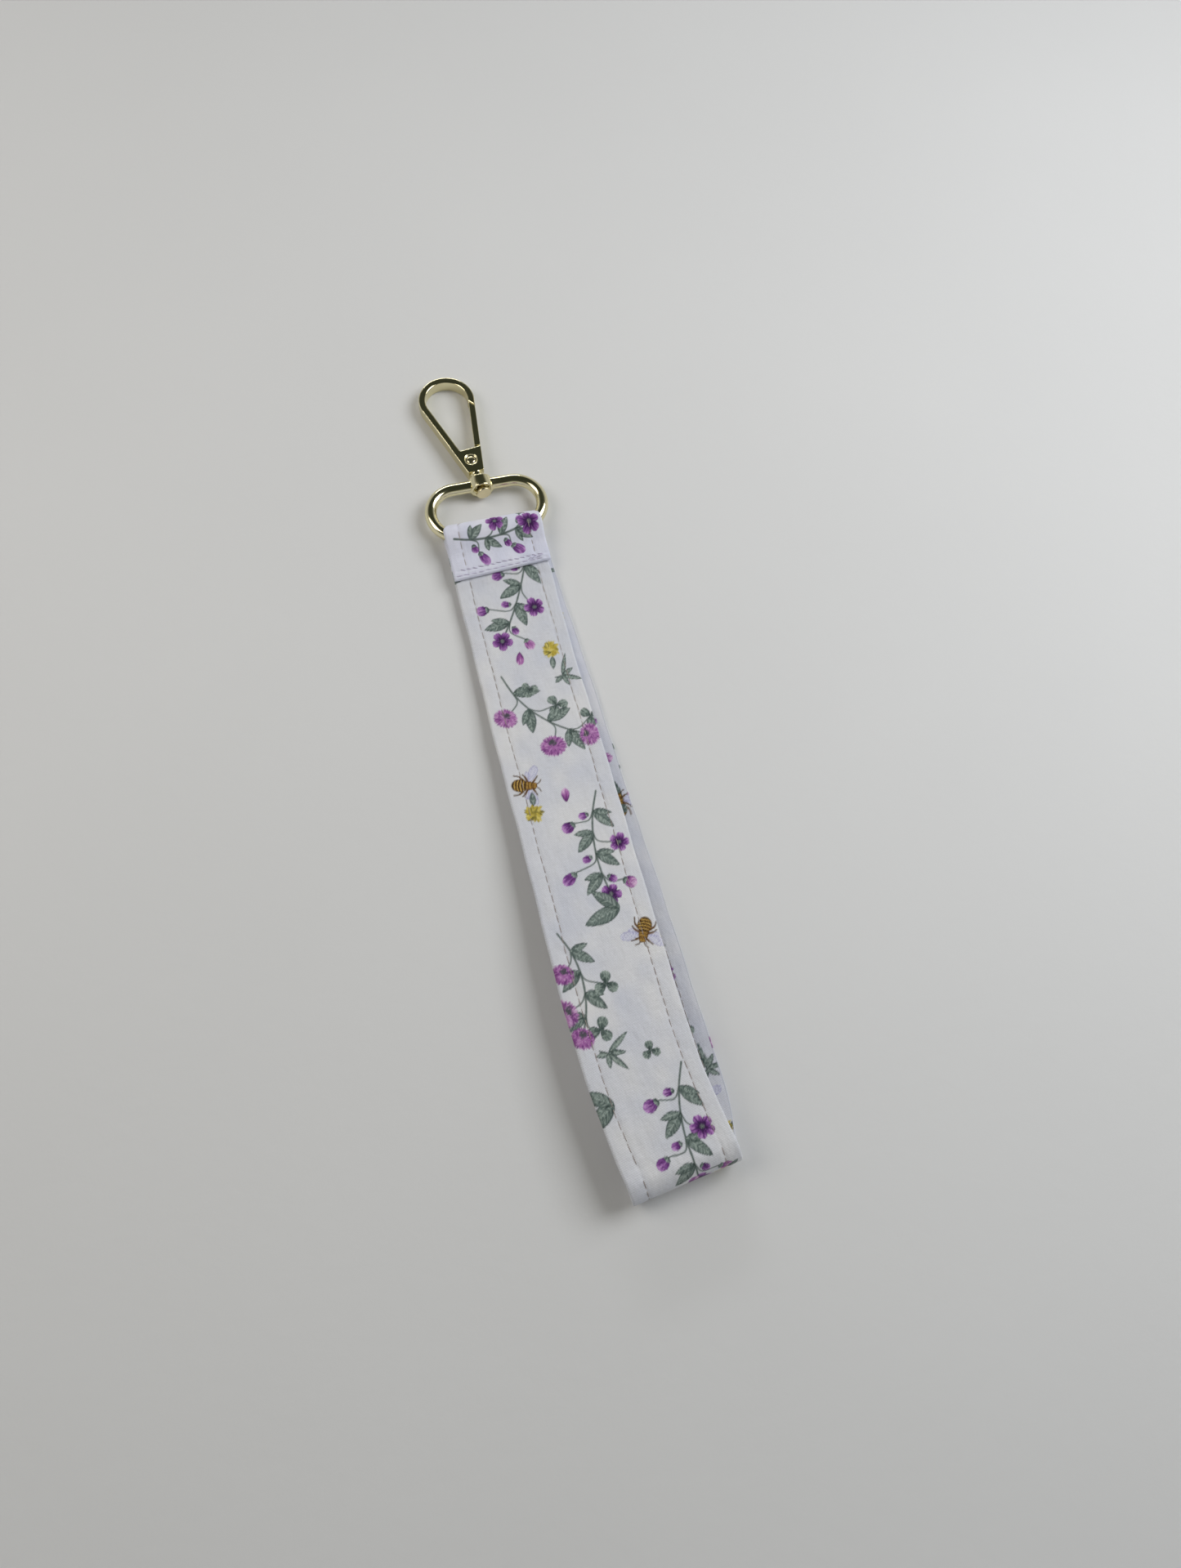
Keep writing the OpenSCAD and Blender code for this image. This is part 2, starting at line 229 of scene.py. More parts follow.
def soft(d, w=0.11):
    """Cover from a distance to an outline, negative inside."""
    return smooth(0.5 - d / (2 * w))


def ramp(tones, t):
    """Colours along dark, middle and light tones, t from 0 to 1."""
    t = np.clip(t, 0, 1)[:, None]
    a, b, c = (np.array(x) for x in tones)
    return np.where(t < 0.5, a + (b - a) * t * 2, b + (c - b) * (t * 2 - 1))


def tint(tones, t):
    """One colour along the tones."""
    return ramp(tones, np.array([t]))[0]


def outline(t, tip, ease=1.0):
    """A petal's width along it, from none at 0 to full at tip and round to none at 1."""
    return np.where(t < tip, np.sin(math.pi / 2 * t / tip) ** ease,
                    np.sqrt(np.clip(1 - ((t - tip) / (1 - tip)) ** 2, 0, 1)))


def ahead(at, turn, length):
    """The point at a distance from (e, q), turned from across the strip towards the wrist fold."""
    return at[0] + length * math.cos(math.radians(turn)), at[1] + length * math.sin(math.radians(turn))


def stem(cl, points, width=0.36, colour=STEM, strength=0.95):
    """A smooth line through the points (e, q)."""
    p = np.array(points, float)
    p = np.vstack([2 * p[0] - p[1], p, 2 * p[-1] - p[-2]])
    line = []
    for i in range(1, len(p) - 2):
        for t in np.linspace(0, 1, 9)[:-1]:
            line.append(0.5 * (2 * p[i] + (p[i + 1] - p[i - 1]) * t
                               + (2 * p[i - 1] - 5 * p[i] + 4 * p[i + 1] - p[i + 2]) * t * t
                               + (3 * p[i] - p[i - 1] - 3 * p[i + 1] + p[i + 2]) * t ** 3))
    line = np.array(line + [p[-2]])
    mid, reach = (line.max(0) + line.min(0)) / 2, (line.max(0) - line.min(0)).max() / 2 + 1
    k, x, y = cl.near(mid[0], mid[1], reach)
    if not len(k):
        return
    best = np.full(len(k), 9.0)
    for a, b in zip(line[:-1] - mid, line[1:] - mid):
        d = b - a
        t = np.clip(((x - a[0]) * d[0] + (y - a[1]) * d[1]) / max(d @ d, 1e-9), 0, 1)
        best = np.minimum(best, np.hypot(x - a[0] - t * d[0], y - a[1] - t * d[1]))
    ink = strength * (0.75 + 0.25 * grain(x * 2.3 + 7, y * 2.3 + 3))
    cl.lay(k, soft(best - width / 2, 0.13) * ink, colour)


def leaf(cl, e, q, turn, length, width, pale=0.0):
    """A pointed leaf growing from (e, q), turned from across the strip towards the wrist fold."""
    k, u, v = cl.near(e, q, length + 1, turn)
    t = u / length
    half = width / 2 * np.sin(math.pi * np.clip(t, 0, 1) ** 0.85) ** 0.8
    d = np.where((t < 0) | (t > 1), 1, np.abs(v) - half)
    vein = 0.5 + 0.5 * np.sin((u - 0.9 * np.abs(v)) * 6.5)
    stroke = grain((u - np.abs(v)) * 6 + 31 * length, v * 2.2 + 3 * turn)
    light = 0.14 + 0.66 * stroke + 0.14 * (v > 0) + 0.22 * vein * (np.abs(v) < half * 0.8) + pale
    rib = 0.45 * soft(np.abs(v) - 0.06, 0.08) * (t < 0.85)
    light = light - 0.32 * smooth((d + 0.32) / 0.32) - 0.3 * smooth(1 - 3 * t) + rib
    cl.lay(k, soft(d) * 0.97, ramp(GREENS, light))


def petal(cl, e, q, turn, length, width, tones, dark=0.35, tip=0.6, notch=0.0):
    """A petal from (e, q): widest at its share tip, dark at its foot, paler at its rim, with fine streaks."""
    k, u, v = cl.near(e, q, length + 1, turn)
    reach = length * (1 - notch * np.exp(-(v / (0.15 * width)) ** 2))
    t = np.clip(u / reach, 0, 1)
    half = width / 2 * outline(t, tip, 0.8)
    d = np.where((u < 0) | (u > reach), 1, np.abs(v) - half)
    streak = grain(np.arctan2(v, u + 0.5) * 13 + e * 3, u * 0.9 + q)
    light = 0.26 + 0.62 * t ** 1.3 + 0.8 * (streak - 0.38) - dark * (1 - t)
    light = light - 0.34 * smooth((d + 0.2) / 0.2) * (t < 0.85)
    cl.lay(k, soft(d), ramp(tones, light))


def blossom(cl, e, q, r, turn, n=5):
    """An open flower of n notched petals with a dark throat."""
    for i in list(range(0, n, 2)) + list(range(1, n, 2)):
        uneven = grain(np.array([e + i * 3.1]), np.array([q]))[0]
        petal(cl, e, q, turn + 360 * i / n, r * (0.92 + 0.14 * uneven), r * (0.70 + 0.1 * uneven), PURPLES,
              dark=0.45, tip=0.68, notch=0.03)
    k, x, y = cl.near(e, q, r)
    ray = np.abs(np.sin((np.arctan2(y, x) - math.radians(turn)) * n / 2))
    cl.lay(k, soft(np.hypot(x, y) - r * (0.2 + 0.34 * (1 - ray)), 0.2) * 0.7, (0.20, 0.08, 0.27))
    cl.lay(k, soft(np.hypot(x, y) - r * 0.19) * 0.95, (0.48, 0.50, 0.50))
    cl.lay(k, soft(np.abs(np.hypot(x, y) - r * 0.12) - 0.03) * 0.8, (0.18, 0.22, 0.19))


def bud(cl, e, q, turn, length, width, tones=PURPLES):
    """A closed bud on its green cup."""
    petal(cl, e, q, turn, length, width * 1.12, tones, 0.2, 0.6)
    k, u, v = cl.near(e, q, length + 1, turn)
    t = u / length
    line = np.abs(np.abs(v) - width * 0.22 * np.sin(math.pi * np.clip(t, 0, 1))) - 0.03
    cl.lay(k, soft(line, 0.1) * 0.55 * ((t > 0.1) & (t < 0.85)), tones[0])
    petal(cl, e, q, turn, length * 0.3, width * 0.75, GREENS, 0.1)


# each ring's share of the head, and its florets
FLORETS = ((0.94, 34), (0.84, 31), (0.74, 28), (0.62, 24), (0.5, 20), (0.36, 14), (0.2, 8))


def clover(cl, e, q, rx, ry, turn, deep, heart):
    """A round clover head of many narrow florets round a green heart."""
    pick = np.random.default_rng(int(abs(q * 13 + e * 7)) + 5)
    c, s = math.cos(math.radians(turn)), math.sin(math.radians(turn))
    k, x, y = cl.near(e, q, max(rx, ry) + 0.6, turn)
    cl.lay(k, soft(np.hypot(x / rx, y / ry) - 0.88, 0.12) * 0.9, tint(MAGENTAS, 0.62 - 0.45 * deep))
    for share, count in FLORETS:
        for i in range(count):
            a = 2 * math.pi * (i + 0.6 * pick.random()) / count
            x0, y0 = rx * (share - 0.14) * math.cos(a), ry * (share - 0.14) * math.sin(a)
            x0, y0 = x0 + heart[0] * rx * (1 - share), y0 + heart[1] * ry * (1 - share)
            tone = tint(MAGENTAS, (0.08 + 0.9 * pick.random()) * (1 - 0.5 * deep))
            reach = math.degrees(math.atan2(y0 * 1.1, x0)) + 34 * (pick.random() - 0.5)
            kk, u, v = cl.near(e + x0 * c - y0 * s, q + x0 * s + y0 * c, 1.2, turn + reach)
            size = 0.13 * (rx + ry) / 2 + 0.22 + 0.12 * pick.random()
            d = np.hypot((u - size / 2) / (size / 2 + 0.05), v / 0.15) - 1
            cl.lay(kk, soft(d * 0.15, 0.07) * 0.9, tone)
    k, x, y = cl.near(e, q, max(rx, ry), turn)
    hx, hy = x - heart[0] * rx, y - heart[1] * ry
    blot = grain(hx * 3.2 + q, hy * 3.2 + e)
    cl.lay(k, soft(np.hypot(hx / rx, hy / ry) - 0.10 - 0.34 * blot, 0.14) * 0.85, (0.27, 0.31, 0.30))


def trefoil(cl, e, q, r, turn, n=3):
    """A clover leaf: n round leaflets with a pale chevron."""
    for i in range(n):
        a = turn + 360 * i / n
        petal(cl, e, q, a, r, r * 0.82, GREENS, dark=0.12, tip=0.62)
        k, u, v = cl.near(e, q, r + 1, a)
        chevron = soft(np.abs(u + 0.8 * np.abs(v) - r * 0.62) - 0.12) * (np.abs(v) < r * 0.33)
        cl.lay(k, chevron * 0.45, (0.80, 0.85, 0.80))
        cl.lay(k, soft(np.abs(v) - 0.05) * ((u > 0.2) & (u < r * 0.9)) * 0.6, GREENS[0])


def sprig(cl, e, q, turn, size):
    """A few narrow leaves from one point."""
    for swing, share in ((-62, 1.0), (-20, 0.62), (24, 0.85), (70, 0.5), (150, 0.42)):
        leaf(cl, e, q, turn + swing, size * share, size * 0.2, pale=0.06)
    stem(cl, [ahead((e, q), turn, -0.3 * size), (e, q)], 0.3)


def puff(cl, e, q, r):
    """A fluffy yellow flower head."""
    pick = np.random.default_rng(int(abs(q * 5 + e)) + 11)
    k, u, v = cl.near(e, q, r + 1)
    cl.lay(k, soft(np.hypot(u, v) - r * 0.8, 0.3) * 0.85, YELLOWS[1])
    for _ in range(70):
        a, d = 2 * math.pi * pick.random(), r * math.sqrt(pick.random()) * 0.9
        k, u, v = cl.near(e + d * math.cos(a), q + d * math.sin(a), 1.3, math.degrees(a) + 40 * pick.random())
        cl.lay(k, soft(np.hypot(u / 0.6, v / 0.24) * 0.24 - 0.24, 0.08) * 0.9, tint(YELLOWS, pick.random()))


def bee(cl, e, q, turn, size):
    """A honey bee seen from above, its tail towards turn."""
    c, s = math.cos(math.radians(turn)), math.sin(math.radians(turn))

    def at(u, v):
        return e + size * (u * c - v * s), q + size * (u * s + v * c)

    for side in (-1, 1):
        for sweep, length, width in ((84, 0.52, 0.20), (112, 0.82, 0.34)):  # wings
            length, width = length * size, width * size
            k, u, v = cl.near(*at(-0.16, side * 0.08), size, turn + side * sweep)
            half = width / 2 * outline(np.clip(u / length, 0, 1), 0.66)
            d = np.where((u < 0) | (u > length), 1, np.abs(v) - half)
            cl.lay(k, soft(d) * 0.4, (0.80, 0.80, 0.92))
            net = np.minimum(np.abs(np.sin(u * 4.6 + v * 3)), np.abs(np.sin(v * 6.5 - u * 2.2)))
            veins = np.maximum(soft(net - 0.14, 0.1) * 0.8, soft(-d - 0.12, 0.1))
            cl.lay(k, soft(d) * veins * 0.6, (0.55, 0.53, 0.72))
        for leg in ([(-0.30, 0.08), (-0.42, 0.24), (-0.52, 0.40)],
                    [(-0.16, 0.12), (-0.04, 0.36), (0.06, 0.46)],
                    [(-0.06, 0.14), (0.16, 0.36), (0.40, 0.42)]):
            stem(cl, [at(u, side * v) for u, v in leg], 0.26, BROWNS[0], 1.0)
            stem(cl, [at(u, side * v) for u, v in leg[:2]], 0.42, (0.38, 0.24, 0.10), 1.0)
        feeler = [(-0.46, 0.05), (-0.58, 0.12), (-0.66, 0.24)]
        stem(cl, [at(u, side * v) for u, v in feeler], 0.2, BROWNS[0], 1.0)
    for u0, ru, rv, stripes in ((0.17, 0.32, 0.27, 1), (-0.21, 0.16, 0.18, 0.45), (-0.41, 0.10, 0.14, 0.3)):
        k, u, v = cl.near(*at(u0, 0), size, turn)
        u, v = u / size, v / size
        d = (np.hypot(u / ru, v / rv) - 1) * 0.2 * size
        band = smooth(0.5 + 0.85 * np.cos((u + 0.9 * v * v) * 2 * math.pi / 0.115 + 1))
        fuzz = grain(u * 30 + 5, v * 30 + 8)
        light = 0.85 * band * stripes + (1 - stripes) * 0.62 + 0.4 * (fuzz - 0.5)
        cl.lay(k, soft(d), ramp(BROWNS, light - 0.5 * smooth((d + 0.22) / 0.22)))


PAINT = {"stem": stem, "leaf": leaf, "bud": bud, "blossom": blossom, "clover": clover, "trefoil": trefoil,
         "sprig": sprig, "puff": puff, "bee": bee, "petal": petal}


def spray(pick, root, turn, size, kind):
    """A bending stem with side shoots by turns left and right, a flower on each and two leaves opposite."""
    bend, nodes = pick.uniform(-26, 26), 5
    spine = [root]
    for k in range(nodes):
        spine.append(ahead(spine[-1], turn + bend * k / 2, size / nodes))
    out, tips = [("stem", spine, 0.42)], []
    for k in range(1, nodes):
        side = 1 if k % 2 else -1
        along = turn + bend * k / 2
        out_turn = along + side * pick.uniform(40, 62)
        tip = ahead(spine[k], out_turn, size * pick.uniform(0.17, 0.27))
        elbow = ahead(spine[k], along + side * 24, size * 0.1)
        out.append(("stem", [spine[k], elbow, tip], 0.3))
        tips.append((tip, out_turn))
        for swing, share in ((48, 0.24), (82, 0.17)):
            leaf_turn = along - side * (swing + pick.uniform(-9, 9))
            out.append(("leaf", *spine[k], leaf_turn, size * share, size * share * 0.4))
    for n, (tip, way) in enumerate(tips + [(spine[-1], turn + bend * 2)]):
        if kind == "clover" and n % 2 == 0:
            r = pick.uniform(2.5, 3.3)
            deep = pick.choice([0.0, 0.25, 0.9])
            out.append(("clover", *tip, r, r * 0.82, way - 90, deep, (0.0, -0.4)))
        elif kind == "clover":
            out.append(("trefoil", *tip, pick.uniform(2.4, 3.2), way))
        elif n % 3 == 1:
            out.append(("blossom", *tip, pick.uniform(2.3, 2.9), pick.uniform(0, 72)))
        else:
            long, wide = pick.uniform(3.2, 4.4), pick.uniform(1.9, 2.5)
            out.append(("bud", *tip, way, long, wide, (PURPLES, MAGENTAS)[n % 2]))
            out.append(("bud", *ahead(spine[1 + n % 4], way, 1.2), way + 14, 2.6, 1.6))
    return out


def filler(pick, e, q, kind):
    """One of the small motifs that stand between the sprays."""
    turn, side = pick.uniform(0, 360), -1 if e > 0 else 1
    return {
        "bee": [("bee", e, q, turn, 6.0)],
        "leaves": [("leaf", e, q, turn, 9.0, 3.6), ("leaf", e, q, turn + 58, 7.4, 3.0)],
        "sprig": [("sprig", e, q, turn, 6.4), ("trefoil", e + side * 9, q + 2, 2.2, turn)],
        "puff": [("puff", e, q, 2.2), ("leaf", *ahead((e, q), turn, 2.0), turn, 3.4, 1.5),
                 ("petal", e + side * 8, q - 1, turn, 3.6, 1.9, MAGENTAS)],
    }[kind]


def garden(q0, q1, seed):
    """The print between two stations: clover and violet sprays by turns, with small motifs between them."""
    pick = np.random.default_rng(seed)
    smalls = ["bee", "leaves", "sprig", "puff"]
    out, q, side, n = [], q0 + pick.uniform(-6, 0), pick.choice([-1, 1]), int(pick.integers(0, 4))
    while q < q1:
        turn = 90 + side * pick.uniform(14, 28)
        root = (side * pick.uniform(6, 10), q)
        out += spray(pick, root, turn, pick.uniform(24, 28), ("clover", "violet")[n % 2])
        out += filler(pick, -side * pick.uniform(7, 10), q + pick.uniform(2, 4), smalls[n % 4])
        out += filler(pick, side * pick.uniform(4, 9), q + pick.uniform(27, 30), smalls[(n + 2) % 4])
        q, side, n = q + pick.uniform(31, 35), -side, n + 1
    return out


def printed(e, q, warm, motifs):
    """Linear colours of the cloth at (e, q)."""
    cl = Cloth(e, q, warm)
    for name, *rest in motifs:
        PAINT[name](cl, *rest)
    c = np.clip(cl.rgb, 0, 1)
    return np.where(c < 0.04045, c / 12.92, ((c + 0.055) / 1.055) ** 2.4)


# ---------------------------------------------------------------- materials
def material(name, **sockets):
    m = bpy.data.materials.new(name)
    m.use_nodes = True
    b = m.node_tree.nodes["Principled BSDF"]
    for key, value in sockets.items():
        b.inputs[key.replace("_", " ")].default_value = value
    return m, m.node_tree, b


def node(tree, kind, **settings):
    n = tree.nodes.new(kind)
    for key, value in settings.items():
        if key.startswith("in_"):
            n.inputs[key[3:].replace("_", " ")].default_value = value
        else:
            setattr(n, key, value)
    return n


def maths(tree, op, a, b=None, c=None):
    n = node(tree, "ShaderNodeMath", operation=op)
    for i, v in enumerate((a, b, c)):
        if v is None:
            continue
        if isinstance(v, (int, float)):
            n.inputs[i].default_value = v
        else:
            tree.links.new(v, n.inputs[i])
    return n.outputs[0]


def mixed(tree, mode, factor, a, b):
    n = node(tree, "ShaderNodeMix", data_type="RGBA", blend_type=mode)
    for socket, v in ((n.inputs[0], factor), (n.inputs[6], a), (n.inputs[7], b)):
        if isinstance(v, (int, float, tuple)):
            socket.default_value = v
        else:
            tree.links.new(v, socket)
    return n.outputs[2]


def noise(tree, coords, scale, detail=3.0, rough=0.5):
    n = node(tree, "ShaderNodeTexNoise", in_Scale=scale, in_Detail=detail, in_Roughness=rough)
    tree.links.new(coords, n.inputs["Vector"])
    return n.outputs["Fac"]


def to_range(tree, value, low, high):
    n = node(tree, "ShaderNodeMapRange")
    n.inputs[3].default_value, n.inputs[4].default_value = low, high
    tree.links.new(value, n.inputs[0])
    return n.outputs[0]


def cotton():
    """Printed cotton: a fine diagonal weave, slubs and a soft sheen over the painted colours."""
    twill_pitch, yarn = 0.44, 0.235
    m, t, b = material("cotton_print", Sheen_Weight=0.12, Sheen_Roughness=0.5, Specular_IOR_Level=0.25)
    ink = node(t, "ShaderNodeAttribute", attribute_name="ink")
    lie = node(t, "ShaderNodeAttribute", attribute_name="lie")
    part = node(t, "ShaderNodeSeparateXYZ")
    t.links.new(lie.outputs["Vector"], part.inputs[0])
    e, q = part.outputs[0], part.outputs[1]
    wobble = noise(t, lie.outputs["Vector"], 0.9, 2.0)
    slope = maths(t, "MULTIPLY", maths(t, "SUBTRACT", e, q), 2 * math.pi / twill_pitch)
    turn = maths(t, "MULTIPLY_ADD", wobble, 2.2, slope)
    twill = maths(t, "MULTIPLY_ADD", maths(t, "SINE", turn), 0.5, 0.5)
    warp = maths(t, "SINE", maths(t, "MULTIPLY", e, 2 * math.pi / yarn))
    weft = maths(t, "SINE", maths(t, "MULTIPLY", q, 2 * math.pi / yarn))
    knots = maths(t, "MULTIPLY_ADD", maths(t, "MULTIPLY", warp, weft), 0.5, 0.5)
    weave = maths(t, "MULTIPLY_ADD", twill, 0.5, maths(t, "MULTIPLY", knots, 0.5))
    slub = node(t, "ShaderNodeMapping", vector_type="POINT")
    slub.inputs["Scale"].default_value = (0.35, 5.0, 1.0)
    t.links.new(lie.outputs["Vector"], slub.inputs["Vector"])
    threads = noise(t, slub.outputs[0], 1.0, 3.0, 0.6)
    tone = maths(t, "MULTIPLY_ADD", weave, 0.7, maths(t, "MULTIPLY", threads, 0.5))
    shade = to_range(t, tone, 0.60, 1.17)
    grey = node(t, "ShaderNodeCombineColor")
    for i in range(3):
        t.links.new(shade, grey.inputs[i])
    t.links.new(mixed(t, "MULTIPLY", 1.0, ink.outputs["Color"], grey.outputs[0]), b.inputs["Base Color"])
    t.links.new(to_range(t, threads, 0.78, 0.95), b.inputs["Roughness"])
    bump = node(t, "ShaderNodeBump", in_Strength=0.6, in_Distance=0.00006)
    height = maths(t, "MULTIPLY_ADD", weave, 0.7, maths(t, "MULTIPLY", threads, 0.6))
    t.links.new(height, bump.inputs["Height"])
    creases = node(t, "ShaderNodeBump", in_Strength=0.55, in_Distance=0.0009)
    stretch = node(t, "ShaderNodeMapping", vector_type="POINT")
    stretch.inputs["Scale"].default_value = (0.30, 0.16, 1.0)
    t.links.new(lie.outputs["Vector"], stretch.inputs["Vector"])
    t.links.new(noise(t, stretch.outputs[0], 1.0, 4.0, 0.55), creases.inputs["Height"])
    t.links.new(bump.outputs[0], creases.inputs["Normal"])
    t.links.new(creases.outputs[0], b.inputs["Normal"])
    return m


def thread(name, dark, light):
    """Twisted sewing thread."""
    m, t, b = material(name, Sheen_Weight=0.25, Specular_IOR_Level=0.3)
    co = node(t, "ShaderNodeTexCoord").outputs["Object"]
    wave = node(t, "ShaderNodeTexWave", wave_type="BANDS", bands_direction="DIAGONAL", in_Scale=900.0,
                in_Distortion=1.5)
    t.links.new(co, wave.inputs["Vector"])
    twist = maths(t, "MULTIPLY_ADD", wave.outputs["Fac"], 0.6, maths(t, "MULTIPLY", noise(t, co, 700.0), 0.4))
    t.links.new(mixed(t, "MIX", twist, dark, light), b.inputs["Base Color"])
    t.links.new(to_range(t, twist, 0.6, 0.85), b.inputs["Roughness"])
    bump = node(t, "ShaderNodeBump", in_Strength=0.5, in_Distance=0.00005)
    t.links.new(twist, bump.inputs["Height"])
    t.links.new(bump.outputs[0], b.inputs["Normal"])
    return m


def plated(name, pale, deep, rough):
    """Polished plating with faint handling marks, duller where it is scuffed."""
    m, t, b = material(name, Metallic=1.0)
    co = node(t, "ShaderNodeTexCoord").outputs["Object"]
    cloud = noise(t, co, 160.0, 4.0)
    fine = noise(t, co, 1500.0, 3.0, 0.6)
    scratch = node(t, "ShaderNodeMapping", vector_type="POINT")
    scratch.inputs["Scale"].default_value = (300.0, 3500.0, 900.0)
    scratch.inputs["Rotation"].default_value = (0.2, 0.4, 0.7)
    t.links.new(co, scratch.inputs["Vector"])
    lines = noise(t, scratch.outputs[0], 1.0, 2.0)
    t.links.new(mixed(t, "MIX", cloud, pale, deep), b.inputs["Base Color"])
    wear = maths(t, "MULTIPLY_ADD", lines, 0.5, maths(t, "MULTIPLY", cloud, 0.6))
    t.links.new(to_range(t, wear, rough * 0.6, rough * 1.7), b.inputs["Roughness"])
    bump = node(t, "ShaderNodeBump", in_Strength=0.06, in_Distance=0.00004)
    t.links.new(maths(t, "ADD", maths(t, "MULTIPLY", fine, 0.4), lines), bump.inputs["Height"])
    t.links.new(bump.outputs[0], b.inputs["Normal"])
    return m


COTTON = cotton()
EDGE_THREAD = thread("edge_cotton_thread", (0.27, 0.22, 0.20, 1), (0.50, 0.43, 0.40, 1))
HEM_THREAD = thread("hem_cotton_thread", (0.42, 0.38, 0.52, 1), (0.66, 0.62, 0.76, 1))
GOLD = plated("gold_plating", (0.88, 0.82, 0.56, 1), (0.80, 0.73, 0.45, 1), 0.11)
DEEP_GOLD = plated("gold_plating_rivet", (0.84, 0.76, 0.52, 1), (0.72, 0.62, 0.38, 1), 0.16)
STEEL = plated("spring_wire", (0.62, 0.62, 0.60, 1), (0.50, 0.49, 0.47, 1), 0.2)
FLEECE = thread("fusible_fleece", (0.62, 0.62, 0.62, 1), (0.80, 0.80, 0.79, 1))

# ---------------------------------------------------------------- the cloth
EDGE = 0.5  # how much of the strip's side is the rounded fold
END_ROUND = 0.45  # how much of the hemmed end is
GAP = 0.00002  # metres between the cloth and the floor
SWELL = [(0.03, 0.13, 0.9), (0.024, 0.31, 2.1), (0.015, 0.62, 4.4)]  # each wave's height, rate and start
HEM_ROWS = (13.1, 14.45)  # the two rows of stitches across the hemmed end


def lift(e, q, inner):
    """How far the cloth's face stands off its flat place: sunk at the stitching, fuller beside it."""
    side = np.abs(e)
    pitch = 0.75 + 0.25 * np.cos(2 * math.pi * q / 2.3)
    h = -0.15 * pitch * np.exp(-((side - STITCH_E) / 0.42) ** 2)
    h = h + 0.05 * np.exp(-((side - 10.8) / 0.9) ** 2) * (0.7 + 0.3 * np.sin(q * 0.9 + 2 * np.sign(e)))
    for a, f, p in SWELL:
        h = h + a * np.sin(q * f + e * f * 0.8 + p + inner * 2) * np.exp(-(side / 11.5) ** 6)
    pucker = 0.035 * np.sin(q * 2 * math.pi / 4.6 + np.sign(e)) * np.exp(-((side - 9.4) / 1.4) ** 2)
    return h + pucker


def strip_piece(name, stations, warmth, prints, cells_across, extra=None, narrow=None, rounded_end=False):
    """A closed piece of the folded strip along its stations. warmth, prints and cells_across are each for the
    outer face and then the inner one: how warm its tone is, its motifs and its cells across. extra raises the
    outer face and narrow draws the right edge in."""
    w, flat = W / 2, W / 2 - EDGE
    arc = np.linspace(0, math.pi, 7)[1:-1]
    n_out, n_in = cells_across
    e_out, e_in = np.linspace(-flat, flat, n_out + 1), np.linspace(flat, -flat, n_in + 1)
    e = np.concatenate([e_out, flat + EDGE * np.sin(arc), e_in, -flat - EDGE * np.sin(arc)])
    h = np.concatenate([np.full(n_out + 1, 1.0), np.cos(arc), np.full(n_in + 1, -1.0), -np.cos(arc)])
    rows, across = len(stations), len(e)
    E, H = np.tile(e, (rows, 1)), np.tile(h, (rows, 1)) * HALF
    Q, S = np.tile(stations[:, 6:7], (1, across)), np.tile(stations[:, 1:2], (1, across))
    face = np.sign(np.where(np.abs(H) > HALF * 0.99, H, 0))
    H = H + face * np.where(face > 0, lift(E, Q, 0), lift(E, Q, 1))
    if extra is not None:
        H = H + np.where(face > 0, extra(E, Q), 0)
    if rounded_end:
        gap = np.abs(S - stations[-1, 1])
        H = H * np.sqrt(np.clip(1 - (1 - np.clip(gap / END_ROUND, 0, 1)) ** 2, 0.02, 1))
    wander = 0.10 * np.sin(Q * 0.11 + 1) + 0.06 * np.sin(Q * 0.37 + np.sign(E))
    E2 = E + wander * np.exp(-((np.abs(E) - w) / 3) ** 2) * np.sign(E) * (Q > 16)
    if narrow is not None:
        E2 = E2 - narrow(Q) * smooth((E2 - 6) / 6)
    pts = place(stations[:, None, :], E2, H)
    pts[..., 2] = np.maximum(pts[..., 2], GAP)
    verts = pts.reshape(-1, 3)
    i, j = np.meshgrid(np.arange(rows - 1), np.arange(across), indexing="ij")
    a, b = i * across + j, i * across + (j + 1) % across
    quads = np.stack([a + across, b + across, b, a], -1).reshape(-1, 4).tolist()
    last = (rows - 1) * across
    caps = [list(range(across))[::-1], list(range(last, last + across))]
    ob = new_object(name, verts, quads + caps, COTTON, 50)
    me = ob.data
    up = face.ravel() >= 0
    ef, qf = E.ravel(), np.where(up, Q.ravel(), S.ravel())  # the inner print is laid out along s
    colour = np.empty((len(verts), 3))
    for side, warm, motifs in zip((up, ~up), warmth, prints):
        colour[side] = printed(ef[side], qf[side], warm, motifs)
    ink = me.color_attributes.new("ink", "FLOAT_COLOR", "POINT")
    ink.data.foreach_set("color", np.hstack([colour, np.ones((len(verts), 1))]).astype(np.float32).ravel())
    lie = me.attributes.new("lie", "FLOAT_VECTOR", "POINT")
    lie.data.foreach_set("vector", np.stack([ef, qf, np.zeros_like(ef)], 1).astype(np.float32).ravel())
    return ob


FINE = 1.0
FACE_STEP, BACK_STEP, BAR_STEP, HEM_STEP, END_STEP = 0.27, 0.3, 0.25, 0.14, 0.08  # between stations
STEP_R_FOLD, STEP_R_WRAP = 4.5, 2.7  # the radii that turn a step into an angle round each fold
END_FROM = HEM_LEN - 0.5


def cells(n):
    """How many cells a face has across, from how many it has in the full model."""
    return int(n / FINE)


